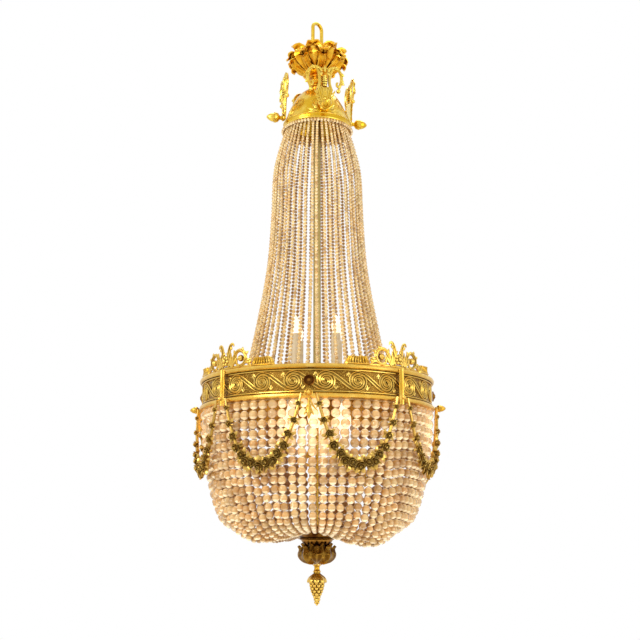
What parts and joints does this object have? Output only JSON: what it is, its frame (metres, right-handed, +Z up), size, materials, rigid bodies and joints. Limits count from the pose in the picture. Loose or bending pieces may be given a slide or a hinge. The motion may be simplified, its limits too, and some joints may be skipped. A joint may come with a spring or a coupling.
{
  "type": "crystal chandelier",
  "caption": "Gilt brass basket chandelier: leafed crown, tent of glass bead strands, scrolled ring with garlands, bead basket, hub and finial.",
  "frame": {"origin": "inside top of the hanging link, where the ceiling hook bears", "axes": "+Z up along the stem, -Y towards the front boss of the ring, +X to the right seen from the front"},
  "size_m": [0.5266, 0.5266, 1.254],
  "materials": {
    "bright_gilt": "gilded, bright",
    "orange_gilt": "gilded, warm",
    "antique_brass": "antique, satin",
    "dark_bronze": "patinated",
    "brown_brass": "dark patina",
    "plain_steel": "plain",
    "glass_beads": "polished",
    "candle_cream": "waxy",
    "lamp_glass": "clear, lit",
    "lampholder": "glazed"
  },
  "bodies": {
    "link": {"hanging_link": "bright_gilt"},
    "chandelier": {"arm_screws": "plain_steel", "basket_strands_1": "glass_beads", "basket_strands_2": "glass_beads", "basket_strands_3": "glass_beads", "basket_strands_4": "glass_beads", "candle_cups": "antique_brass", "candle_sleeves": "candle_cream", "canopy_collar": "orange_gilt", "centre_rod": "antique_brass", "corner_straps": "antique_brass", "crown_acorns": "bright_gilt", "crown_carrier": "antique_brass", "crown_crest_1": "bright_gilt", "crown_crest_2": "bright_gilt", "crown_crest_3": "bright_gilt", "crown_crest_4": "bright_gilt", "crown_dome": "bright_gilt", "crown_rope": "glass_beads", "finial": "bright_gilt", "flame_bulbs": "lamp_glass", "fluted_shells": "antique_brass", "frieze_bosses": "antique_brass", "hub_funnel": "brown_brass", "hub_leaf_cup": "brown_brass", "lamp_plate": "antique_brass", "leaf_canopy": "orange_gilt", "lower_bulbs": "lamp_glass", "lower_sockets": "lampholder", "neck_baluster": "orange_gilt", "ribbon_drops": "antique_brass", "ring_acorns": "antique_brass", "ring_band": "antique_brass", "ring_crest_1": "antique_brass", "ring_crest_2": "antique_brass", "ring_crest_3": "antique_brass", "ring_crest_4": "antique_brass", "scroll_frieze_1": "antique_brass", "scroll_frieze_2": "antique_brass", "scroll_frieze_3": "antique_brass", "scroll_frieze_4": "antique_brass", "spider": "antique_brass", "stem_eye": "orange_gilt", "stem_nuts": "plain_steel", "stem_tube": "antique_brass", "swag_1": "dark_bronze", "swag_2": "dark_bronze", "swag_3": "dark_bronze", "swag_4": "dark_bronze", "swag_5": "dark_bronze", "swag_6": "dark_bronze", "swag_7": "dark_bronze", "swag_8": "dark_bronze", "swag_screws": "antique_brass", "tent_carrier": "antique_brass", "tent_strands_1": "glass_beads", "tent_strands_2": "glass_beads", "tent_strands_3": "glass_beads", "tent_strands_4": "glass_beads"}
  },
  "joints": [
    {"name": "link_swing", "type": "hinge", "parent": "link", "child": "chandelier", "pos_m": [0, 0, -0.064], "axis": [0.6428, 0.766, 0], "range_deg": [-30, 30]}
  ]
}
